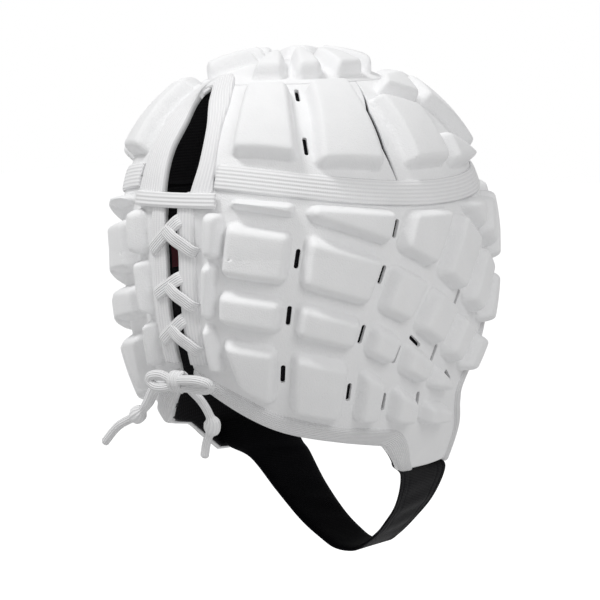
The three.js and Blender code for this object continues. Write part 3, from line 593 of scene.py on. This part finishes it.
def side_pads(flip):
    """The pads between neighbouring uprights, and the loose ones."""
    names = list(UPRIGHTS)
    lines = side_lines(0)
    pads = []
    for name, rows in SIDE_PADS.items():
        c = names.index(name)
        for row in rows:
            r = ROWS.index(row) + 1
            corners = np.array([lines[c][r], lines[c + 1][r], lines[c + 1][r + 1], lines[c][r + 1]])
            pads.append((flip(corners), CHANNEL / 2))
    return pads + [(flip(corners), 0) for corners in LOOSE_SIDE_PADS]


def side_vents(flip):
    """Each vent as its place and a place further along its upright."""
    vents = []
    for name, levels in VENTS_ON_UPRIGHTS.items():
        line = np.array(UPRIGHTS[name])
        for level in levels:
            ends = [[np.interp(at, line[1:, 1], line[1:, 0]), at] for at in (level, level + 3)]
            vents.append(flip(ends))
    return vents + [flip(vent) for vent in SLANTED_VENTS]


def same(places):
    """The places as they are."""
    return np.asarray(places, float)


def crown_line(turns, shift):
    """A line from the top seam to the band through the crown's levels, shifted sideways in millimetres."""
    turns = np.asarray(turns, float)
    levels = np.append(np.array(CROWN_LEVELS, float), band_middle(turns[-1]) - SEAM)
    levels[0] += SEAM
    places = np.stack([turns, levels], axis=-1)
    here = form_point(places[:, 0], places[:, 1])
    per_turn = np.linalg.norm(form_point(places[:, 0] + 1, places[:, 1]) - here, axis=-1)
    places[:, 0] += shift / per_turn
    return places


def crown_back_lines(side):
    """Lines from the slit's edge to the dart."""
    flip = 1 if side == "right" else -1
    rest = [crown_line([turn * flip] * 4, 0) for turn in (20, 33.5, 47, 61)]
    dart = crown_line(np.array(DART) * flip, -flip * np.array(DART_GAPS) / 2)
    return np.array([crown_line(SLIT_EDGE[side], flip * 0.15), *rest, dart])


def crown_front_lines():
    """Lines from the right dart over the brow to the left one."""
    right = [crown_line(DART, np.array(DART_GAPS) / 2)]
    right += [crown_line([turn] * 4, 0) for turn in (92, 106, 120, 135, 150, 165)]
    left = [np.stack([360 - line[:, 0], line[:, 1]], axis=-1) for line in right]
    return np.array(right + [crown_line([180] * 4, 0)] + left[::-1])


def both_sides(table, place):
    """Pads of a table and their mirror images."""
    return [(place(flip(corners)), 0) for flip in (same, mirrored) for corners in table]


def forehead_lines():
    """Lines from the band to the brow, between the two side panels."""
    temple = [UPRIGHTS["face"][0], UPRIGHTS["face"][1]]
    tops = [temple[0], [BROW[0][0], temple[0][1]], [BROW[1][0], temple[0][1]]]
    lows = [temple[1], *BROW]
    right = []
    for top, low in zip(tops, lows):
        right.append([[top[0] + 0.1 * (top[0] < 150), band_middle(top[0]) + SEAM], top, low])
    right = np.array(right, float)
    right[0, :, 0] += SEAM
    left = right[:-1][::-1].copy()
    left[..., 0] = 360 - left[..., 0]
    return np.concatenate([right, left])


def polar_places(turns, levels, lowest):
    """Places all round the head, from the very top to the lowest level."""
    turn = np.linspace(0, 360, turns, endpoint=False)
    level = np.linspace(0, lowest, levels)
    return np.stack(np.meshgrid(turn, level, indexing="ij"), axis=-1)


def crown_top():
    """A polar grid from the very top to the top seam."""
    places = polar_places(300, 44, CROWN_LEVELS[0] - SEAM)
    web = cap_point(places, WEB)
    height = WEB + pad_relief(web, both_sides(CROWN_TOP_PADS, leaned))
    inner = cap_point(places, WEB_INNER)
    made = welded(shell("crown_top_panel", cap_point(places, height), inner, closed=True))
    finish(made, "foam", "crown_top")


def crown_lining():
    """A polar grid down to the top seam, and from there to the band a ring that is open at the slit."""
    top = polar_places(180, 24, CROWN_LEVELS[0])
    left = crown_back_lines("left")[::-1] + [360, 0]
    ring = np.concatenate([crown_back_lines("right"), crown_front_lines(), left])
    ring = lines_grid(ring, LINING_STEP)
    pieces = [
        shell("lining", cap_point(top, LINING), cap_point(top, 0), closed=True),
        shell("lining", cap_point(ring, LINING), cap_point(ring, 0)),
    ]
    finish(welded(merged("crown_lining_cloth", pieces)), "lining", "crown_lining")


def side_lining():
    """A thin wall on each side panel's lines and one on the forehead's."""
    side = lines_grid(side_lines(0), LINING_STEP)
    pieces = []
    for places in (side, mirrored(side), lines_grid(forehead_lines(), LINING_STEP)):
        pieces.append(shell("lining", cap_point(places, LINING), cap_point(places, 0)))
    finish(welded(merged("side_lining_cloth", pieces)), "lining", "side_lining")


# Trims
def head_band():
    """A tape along the band's middle, round the head from one side of the slit to the other."""
    turn = np.linspace(*BAND_ENDS, 300)
    places = np.stack([turn, band_middle(turn)], axis=-1)
    made = tape_along("head_band_tape", places, BAND_WIDTH, TAPE_INNER, TAPE, rounding=0.6)
    finish(made, "tape", "head_band")


def slit_trim():
    """A tape between the slit arch's smoothed inner and outer edges."""
    edges = [smooth_line(SLIT_ARCH[edge], 160) for edge in ("inner", "outer")]
    made = ribbon("slit_trim_tape", edges, TAPE_INNER - 2.2, TAPE + 0.05, rounding=0.8)
    finish(made, "tape", "slit_trim")


def slit_bar():
    """A tape along one level, across the slit's foot."""
    turn = np.linspace(-BAR["end"], BAR["end"], 50)
    places = np.stack([turn, np.full(50, BAR["level"])], axis=-1)
    made = tape_along("slit_bar_tape", places, BAR_WIDTH, TAPE + 0.05, LACE + 0.2)
    finish(made, "tape", "slit_bar")


def neck_binding(side, flip):
    """A rounded tape between the binding's smoothed edges, round the panel's rim."""
    edges = [flip(smooth_line(NECK_BINDING[edge], 140)) for edge in ("inner", "outer")]
    top = ribbon("binding", edges, 0.4, TAPE + 0.25, rounding=1.6, columns=20)
    finish(top, "binding", f"neck_binding_{side}")


def face_binding():
    """A rounded tape along both face edges and the brow."""
    edge = np.array(UPRIGHTS["face"])[1:]
    left = np.stack([360 - edge[:, 0], edge[:, 1]], axis=-1)
    crown = [BROW[0], BROW[1], [360 - BROW[0][0], BROW[0][1]]]
    places = smooth_line(np.concatenate([edge[::-1], crown, left]), 420)
    edges = [beside(places, 0.4), beside(places, -FACE_BINDING_WIDTH)]
    made = ribbon("face_binding_tape", edges, 0.4, TAPE, rounding=1.2, columns=12)
    finish(made, "binding", "face_binding")


def lace_tape(side, flip):
    """A tape down the edge that the lace goes over."""
    level = np.linspace(LACE_TAPE["top"], LACE_TAPE["bottom"], 110)
    edge = flip(np.stack([np.full(110, float(LACE_TAPE["edge"])), level], axis=-1))
    way = 1 if side == "right" else -1
    edges = [edge, beside(edge, -way * LACE_TAPE_WIDTH)]
    made = ribbon("lace_tape", edges, WEB - 0.5, TAPE, rounding=0.7)
    finish(made, "tape", f"lace_tape_{side}")


def lace_cross(name, strands):
    """Each strand dips at both ends, where it goes over the tape's edge, and the second rides on the
    first."""
    pieces = []
    for level, ends in enumerate([strands["under"], strands["over"]]):
        share = np.linspace(0, 1, 60)
        places = np.array(ends[0])[None] * (1 - share[:, None]) + np.array(ends[1])[None] * share[:, None]
        dip = -2.6 * (np.abs(2 * share - 1) ** 10)
        hump = level * (0.5 + 0.9 * np.exp(-(((share - 0.4) / 0.2) ** 2)))
        lift = (dip + hump)[:, None]
        pieces.append(tape_along("strand", places, LACE_WIDTH, TAPE + 0.05, LACE, lift=lift, rounding=0.7))
    finish(merged(name + "_knit", pieces), "lace", name)


def bow_frame():
    """The bow's origin on the form, and its axes along, up and out."""
    place = (np.float64(BOW["turn"]), np.float64(BOW["level"]))
    up = form_normal(*place)
    along = form_point(place[0] + 1, place[1]) - form_point(place[0] - 1, place[1])
    along /= np.linalg.norm(along)
    return cap_point(place, 0), along, np.cross(up, along), up


def lace_bow():
    """Two loops, each a flat lace carried along a ring, drawn through a barrel knot."""
    origin, along, rise, out = bow_frame()
    pieces = []
    for k, loop in enumerate(BOW_LOOPS):
        flat = smooth_line(np.array(loop) * BOW["reach"], 90)
        depth = BOW["height"] + 1.1 * np.sin(np.linspace(0, np.pi * 2, 90)) * (1 - 2 * k)
        path = origin + flat[:, :1] * along + flat[:, 1:] * rise + depth[:, None] * out
        pieces.append(tube("loop", path, 4.8, 3.4))
    for shift in BOW_WRAPS:
        angle = np.linspace(0, 2 * np.pi, 60, endpoint=False)
        path = origin + along * (shift + 0.5 * np.sin(angle))[:, None]
        path = path + rise * (4.4 * np.sin(angle))[:, None]
        path = path + out * (BOW["height"] - 2.2 + 3.6 * np.cos(angle))[:, None]
        pieces.append(tube("wrap", path, 3.4, 2.6, closed=True))
    stem = origin + out * np.linspace(LACE + 0.2, BOW["height"], 12)[:, None]
    pieces.append(tube("core", stem + rise * 0.01 * np.arange(12)[:, None], 9, 8))
    finish(merged("lace_bow_knit", pieces), "lace", "lace_bow")


def lace_tail(name, knot_at, route):
    """A free end of the lace: a tube along its smoothed route, swollen at its knot."""
    line = np.array(route) / MM
    path = smooth_line(line, 90)
    steps = np.linalg.norm(np.diff(path, axis=0), axis=1)
    run = np.concatenate([[0], np.cumsum(steps)])
    nearest = int(np.argmin(np.linalg.norm(path - line[knot_at], axis=1)))
    knots = [(run[nearest], TAIL_KNOT["size"], TAIL_KNOT["length"])]
    if name == "lace_tail_left":
        knots.append((run[nearest] / 2, TAIL_SWELL["size"], TAIL_SWELL["length"]))
    made = tube(name + "_knit", path, TAIL_DIAMETER, TAIL_DIAMETER * TAIL_FLATNESS, knots)
    finish(made, "lace", name)


def chin_strap():
    """Cloth lofted on smooth curves through the stations, thinned at its edges, with seams sunk along it and
    soft folds across it near the chin."""
    ends = {k: [cap_point(np.array(place, float), -STRAP_TUCK) for place in STRAP_END[k]] for k in STRAP_END}
    rear, front = ends["rear"][1], ends["front"][1]
    width = rear[1] - front[1]
    rows = [[ends["rear"][k], ends["front"][k]] for k in (0, 1)]
    for across, drop, narrowing, flare in STRAP_STATIONS:
        edge = front[1] * (1 - drop) + CHIN_FRONT * drop
        full = width * (1 - narrowing) + STRAP_CHIN_WIDTH * narrowing
        back = np.array([rear[0] * across, edge + full, rear[2] * (1 - drop) + CHIN_LEVEL * drop])
        fore = np.array([front[0] * across, edge, front[2] * (1 - drop) + CHIN_LEVEL * drop])
        rows.append([back, fore + flare * FLARE_WAY])
    rows = np.array(rows)
    rows = np.concatenate([rows, rows[::-1] * [-1, 1, 1]])
    edges = [smooth_line(rows[:, k], 320) for k in (0, 1)]
    share = np.linspace(0, 1, 45)[None, :, None]
    middle = edges[0][:, None] * (1 - share) + edges[1][:, None] * share
    down = np.gradient(middle, axis=0)
    along = np.gradient(middle, axis=1)
    normal = np.cross(down, along)
    normal /= np.linalg.norm(normal, axis=-1, keepdims=True)
    run = np.linspace(-1, 1, 320)[:, None]
    s = share[..., 0]
    seams = sum(np.exp(-(((s - at) / 0.012) ** 2)) for at in STRAP_SEAMS)
    near_chin = np.exp(-(((np.abs(run) - 0.42) / 0.22) ** 2))
    folds = 0.45 * np.sin(38 * run + 3 * s) * near_chin * np.sin(np.pi * s)
    thin = 1 - np.abs(2 * s - 1) ** 8
    outer = middle + normal * (folds - 0.35 * seams)[..., None]
    wall = STRAP_THICKNESS * (0.35 + 0.65 * thin)
    inner = middle - normal * (wall - folds)[..., None]
    finish(shell("chin_strap_cloth", outer, inner), "strap", "chin_strap")


def inner_patch():
    """A thin wall on a rectangle of places, inside the lining."""
    turn = np.linspace(*PATCH["turns"], 40)
    level = np.linspace(*PATCH["levels"], 24)
    places = np.stack(np.meshgrid(turn, level, indexing="ij"), axis=-1)
    inner = cap_point(places, PATCH["height"])
    made = shell("inner_patch_cloth", cap_point(places, PATCH["height"] + 0.6), inner)
    finish(made, "patch", "inner_patch")


# Materials
class Maths:
    """A socket whose arithmetic adds Math nodes to its tree."""

    def __init__(self, tree, socket):
        self.tree = tree
        self.socket = socket

    def calculated(self, operation, *others):
        made = node(self.tree, "ShaderNodeMath", {"operation": operation}, dict(enumerate([self, *others])))
        return Maths(self.tree, made.outputs[0])

    def __add__(self, other):
        return self.calculated("ADD", other)

    def __mul__(self, other):
        return self.calculated("MULTIPLY", other)

    __radd__ = __add__
    __rmul__ = __mul__

    def wave(self, spacing):
        """A sine wave of the value, from 0 to 1, with its spacing in metres."""
        return (self * (2 * np.pi / spacing)).calculated("SINE") * 0.5 + 0.5


def node(tree, kind, settings=None, values=None):
    """Any node: settings first, then the values or links of its sockets."""
    made = tree.nodes.new(kind)
    for name, value in (settings or {}).items():
        setattr(made, name, value)
    for key, value in (values or {}).items():
        socket = made.inputs[key]
        if isinstance(value, Maths):
            tree.links.new(value.socket, socket)
        elif isinstance(value, bpy.types.NodeSocket):
            tree.links.new(value, socket)
        else:
            socket.default_value = value
    return made


def new_material(name, sheen=0.0, gloss=0.3):
    """A material, its tree and its shader."""
    made = bpy.data.materials.new(name)
    made.use_nodes = True
    tree = made.node_tree
    shader = tree.nodes["Principled BSDF"]
    shader.inputs["Sheen Weight"].default_value = sheen
    shader.inputs["Specular IOR Level"].default_value = gloss
    return made, tree, shader


def noise(tree, scale, detail):
    """Noise on object coordinates."""
    place = node(tree, "ShaderNodeTexCoord").outputs["Object"]
    made = node(tree, "ShaderNodeTexNoise", {}, {"Vector": place, "Scale": scale, "Detail": detail})
    return Maths(tree, made.outputs[0])


def mixed_color(tree, share, dark, light):
    """A color from dark to light by the share."""
    made = node(tree, "ShaderNodeMix", {"data_type": "RGBA"}, {"Factor": share})
    for socket in made.inputs:
        if socket.type == "RGBA" and socket.name == "A":
            socket.default_value = (*dark, 1)
        if socket.type == "RGBA" and socket.name == "B":
            socket.default_value = (*light, 1)
    return [out for out in made.outputs if out.type == "RGBA"][0]


def surfaced(tree, shader, height, depth, color, roughness):
    """The shader with its color, roughness and a bump of the height, as deep as depth in metres."""
    bump = node(tree, "ShaderNodeBump", {}, {"Height": height, "Strength": 1.0, "Distance": depth})
    tree.links.new(bump.outputs[0], shader.inputs["Normal"])
    tree.links.new(color, shader.inputs["Base Color"])
    shader.inputs["Roughness"].default_value = roughness


def foam_material():
    """White knitted cloth over moulded foam: a fine stitch grain and faint mottling."""
    made, tree, shader = new_material("foam", sheen=0.15)
    grain = noise(tree, 1500, 1)
    mottle = noise(tree, 90, 3)
    color = mixed_color(tree, mottle, (0.87, 0.873, 0.88), (0.93, 0.93, 0.935))
    surfaced(tree, shader, grain + mottle * 0.8, 0.00022, color, 0.78)
    return made


def ribbed_material(name, rib, stitch, depth, dark, light):
    """Woven tape: ribs along it with a finer stitch across each; its colour follows the same height, darker
    in the grooves, as painted groove shade.
    """
    made, tree, shader = new_material(name, sheen=0.1)
    uv = node(tree, "ShaderNodeSeparateXYZ", {}, {0: node(tree, "ShaderNodeTexCoord").outputs["UV"]})
    along = Maths(tree, uv.outputs[0])
    across = Maths(tree, uv.outputs[1])
    ribs = across.wave(rib)
    stitches = (along + noise(tree, 700, 1) * 0.0002).wave(stitch)
    height = ribs + stitches * ribs * 0.35
    # Colour by the rib height: the grooves darker than the crests, painted shade
    surfaced(tree, shader, height, depth, mixed_color(tree, height, dark, light), 0.85)
    return made


def lining_material():
    """Black knit: a small even stitch from crossed waves, with painted shade darkening the colour between
    the stitches.
    """
    made, tree, shader = new_material("lining", gloss=0.12)
    place = node(tree, "ShaderNodeSeparateXYZ", {}, {0: node(tree, "ShaderNodeTexCoord").outputs["Object"]})
    x, y, z = (Maths(tree, out) for out in place.outputs)
    weave_and_painted_shade = (x + y).wave(0.0016) * z.wave(0.0016)
    # Colour follows the stitch height: darker between the stitches, painted shade
    color = mixed_color(tree, weave_and_painted_shade, (0.003, 0.0028, 0.004), (0.012, 0.011, 0.015))
    surfaced(tree, shader, weave_and_painted_shade, 0.0003, color, 0.75)
    return made


def strap_material():
    """Black woven strap cloth with a dull sheen; its colour is half painted shade between the weave's
    threads and half cloudy tone.
    """
    made, tree, shader = new_material("strap", gloss=0.04)
    uv = node(tree, "ShaderNodeSeparateXYZ", {}, {0: node(tree, "ShaderNodeTexCoord").outputs["UV"]})
    weave_and_painted_shade = Maths(tree, uv.outputs[0]).wave(0.0011) * Maths(tree, uv.outputs[1]).wave(0.0011)
    cloudy = noise(tree, 60, 3)
    # Colour: half painted shade from the weave's lows, half random cloudy tone
    color = mixed_color(tree, weave_and_painted_shade * 0.5 + cloudy * 0.5, (0.0005, 0.0005, 0.001), (0.004, 0.004, 0.006))
    surfaced(tree, shader, weave_and_painted_shade + cloudy, 0.0003, color, 0.62)
    return made


def patch_material():
    """Dark red cloth with a fine grain."""
    made, tree, shader = new_material("patch")
    grain = noise(tree, 1300, 2)
    color = mixed_color(tree, grain, (0.08, 0.003, 0.01), (0.14, 0.006, 0.02))
    surfaced(tree, shader, grain, 0.0002, color, 0.8)
    return made


MATERIALS = {
    "foam": foam_material(),
    # For the tapes, binding and lace the first colour is the painted shade in the rib grooves, the second
    # the crests
    "tape": ribbed_material("tape", 0.0019, 0.0009, 0.00017, (0.83, 0.83, 0.84), (0.91, 0.91, 0.915)),
    "binding": ribbed_material("binding", 0.0011, 0.0011, 0.00025, (0.8, 0.8, 0.81), (0.89, 0.89, 0.895)),
    "lace": ribbed_material("lace", 0.0011, 0.001, 0.00022, (0.82, 0.82, 0.83), (0.92, 0.92, 0.925)),
    "lining": lining_material(),
    "strap": strap_material(),
    "patch": patch_material(),
}


def finish(made, finish_name, *nodes):
    """The piece with its material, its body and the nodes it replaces."""
    made.data.materials.clear()
    made.data.materials.append(MATERIALS[finish_name])
    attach(made, "root")
    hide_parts(*nodes)


# Studio
def area_light(name, place, aim, size, power):
    """A disk of light that faces its aim."""
    data = bpy.data.lights.new(name, "AREA")
    data.shape = "DISK"
    data.size = size
    data.energy = power
    light = bpy.data.objects.new(name, data)
    away = np.array(place) - np.array(aim)
    away = away / np.linalg.norm(away)
    side = np.cross([0, 0, 1], away)
    side /= np.linalg.norm(side)
    light.matrix_world = placed(side, np.cross(away, side), away, place)
    bpy.context.collection.objects.link(light)


def studio():
    """White surroundings that light the cap at half strength, a white floor and two lights."""
    world = bpy.data.worlds.new("studio")
    bpy.context.scene.world = world
    world.use_nodes = True
    tree = world.node_tree
    plain = tree.nodes["Background"]
    plain.inputs["Color"].default_value = (1, 1, 1, 1)
    plain.inputs["Strength"].default_value = 0.5
    seen = node(tree, "ShaderNodeBackground", {}, {"Color": (1, 1, 1, 1), "Strength": 1.0})
    rays = node(tree, "ShaderNodeLightPath")
    shares = {0: rays.outputs["Is Camera Ray"], 1: plain.outputs[0], 2: seen.outputs[0]}
    both = node(tree, "ShaderNodeMixShader", {}, shares)
    tree.links.new(both.outputs[0], tree.nodes["World Output"].inputs["Surface"])
    mesh = bpy.data.meshes.new("floor")
    reach, height = FLOOR["reach"], FLOOR["height"]
    square = [[-reach, -reach], [reach, -reach], [reach, reach], [-reach, reach]]
    mesh.from_pydata([[*corner, height] for corner in square], [], [[0, 1, 2, 3]])
    floor = bpy.data.objects.new("floor", mesh)
    bpy.context.collection.objects.link(floor)
    made, tree, shader = new_material("floor")
    shader.inputs["Base Color"].default_value = (0.95, 0.95, 0.95, 1)
    shader.inputs["Emission Color"].default_value = (1, 1, 1, 1)
    shader.inputs["Emission Strength"].default_value = 0.6
    floor.data.materials.append(made)
    floor.visible_diffuse = False
    for light in LIGHTS:
        area_light(light["name"], light["place"], LIGHT_TARGET, light["size"], light["power"])
    bpy.context.scene.view_settings.view_transform = "Standard"


def dress():
    """The cords first, then the panels, linings and trims."""
    for name, (knot_at, route) in TAILS.items():
        lace_tail(name, knot_at, route)
    for side, flip in (("right", same), ("left", mirrored)):
        panel(f"side_panel_{side}_foam", flip(side_lines(-SEAM)), side_pads(flip), side_vents(flip))
        vents = [leaned(flip(vent)) for vent in CROWN_VENTS]
        pads = [(leaned(flip(corners)), 0) for corners in CROWN_BACK_PADS]
        panel(f"crown_back_{side}_foam", crown_back_lines(side), pads, vents)
        neck_binding(side, flip)
        lace_tape(side, flip)
    panel("crown_front_foam", crown_front_lines(), both_sides(CROWN_FRONT_PADS, leaned))
    panel("forehead_panel_foam", forehead_lines(), both_sides(FOREHEAD_PADS, same))
    crown_top()
    crown_lining()
    side_lining()
    head_band()
    slit_trim()
    slit_bar()
    face_binding()
    for name, strands in LACES.items():
        lace_cross(name, strands)
    lace_bow()
    chin_strap()
    inner_patch()


make_camera()
dress()
studio()
